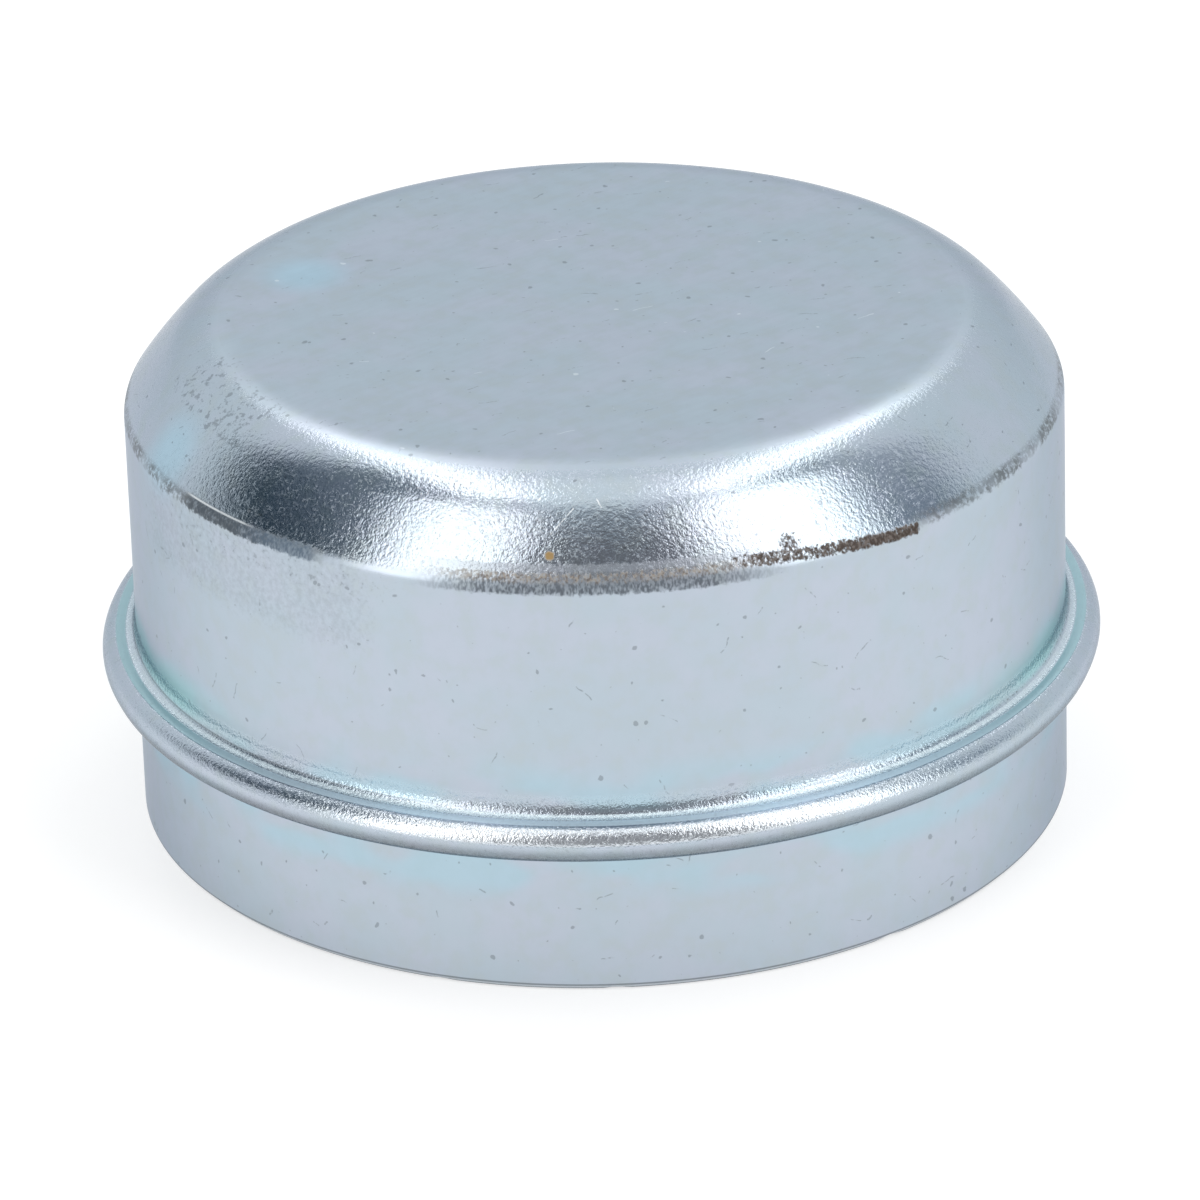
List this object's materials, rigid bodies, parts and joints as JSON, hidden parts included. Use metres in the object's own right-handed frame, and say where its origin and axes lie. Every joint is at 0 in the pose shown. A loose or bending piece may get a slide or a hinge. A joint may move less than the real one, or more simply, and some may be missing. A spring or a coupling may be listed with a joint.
{
  "type": "hub grease cap",
  "caption": "Round drawn-steel hub grease cap with a flat crown, sloped shoulder, folded bead and press-in skirt, bright zinc plated and lightly worn.",
  "frame": {"origin": "centre of the open rim, on the plane that the cap stands on", "axes": "+Z along the cap's axis from the open rim to the crown; X and Y are any pair across the rim"},
  "size_m": [0.0666, 0.0666, 0.0342],
  "materials": {
    "zinc_plated_steel": "bright zinc plate over drawn sheet steel, satin, with light scratches, grime and a little rust"
  },
  "bodies": {
    "root": {"grease_cap": "zinc_plated_steel"}
  },
  "joints": []
}
